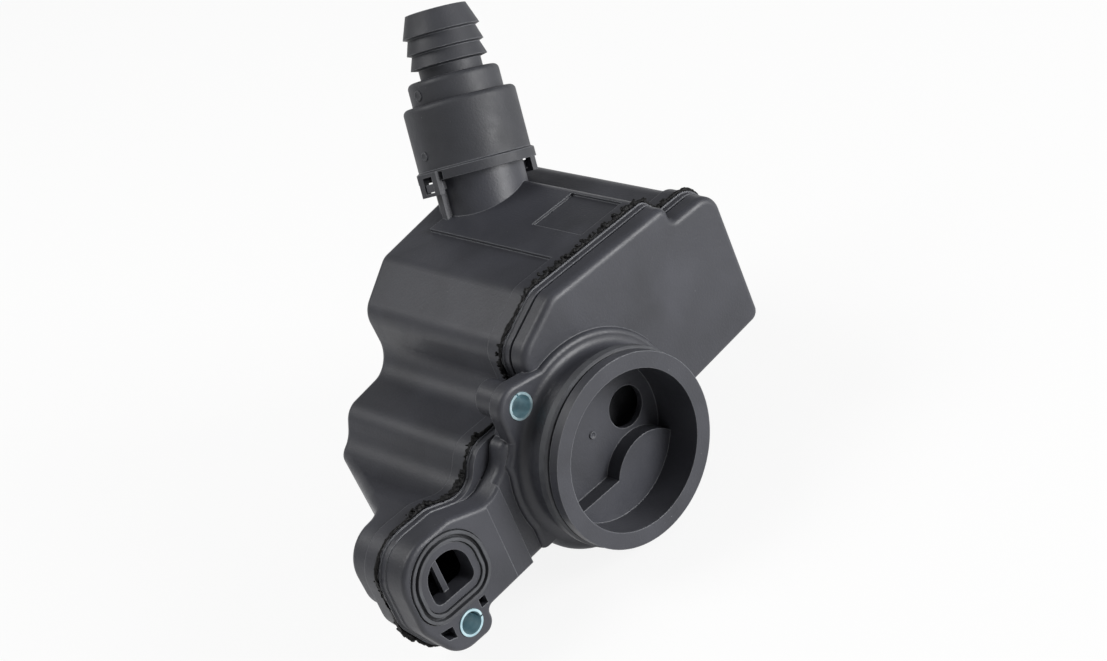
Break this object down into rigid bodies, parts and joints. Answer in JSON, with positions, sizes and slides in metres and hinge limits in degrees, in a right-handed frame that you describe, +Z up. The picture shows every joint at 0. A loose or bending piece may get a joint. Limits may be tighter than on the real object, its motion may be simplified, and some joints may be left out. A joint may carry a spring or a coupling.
{
  "type": "oil breather housing",
  "caption": "Moulded oil breather housing: welded two-shell chamber with a round spigot port, gasketed drain, sleeved bolt lugs and a barbed push-on hose connector.",
  "frame": {"origin": "centre of the port spigot's open end", "axes": "-Y out of the port along its axis, towards the engine; +Z up to the roof and the hose connector; +X to the right as seen from in front of the port, away from the drain"},
  "size_m": [0.1681, 0.1328, 0.1522],
  "materials": {
    "shell": "satin black glass-filled nylon with a fine moulded grain",
    "connector": "satin black nylon",
    "seal": "matt black rubber",
    "sleeve": "blue zinc plate",
    "baffle": "satin black nylon"
  },
  "bodies": {
    "root": {"body_shell": "shell", "cover_shell": "shell", "hose_connector": "connector", "connector_seal_ring": "seal", "port_seal_ring": "seal", "drain_gasket": "seal", "upper_bolt_sleeve": "sleeve", "lower_bolt_sleeve": "sleeve", "separator_baffle": "baffle"}
  },
  "joints": []
}
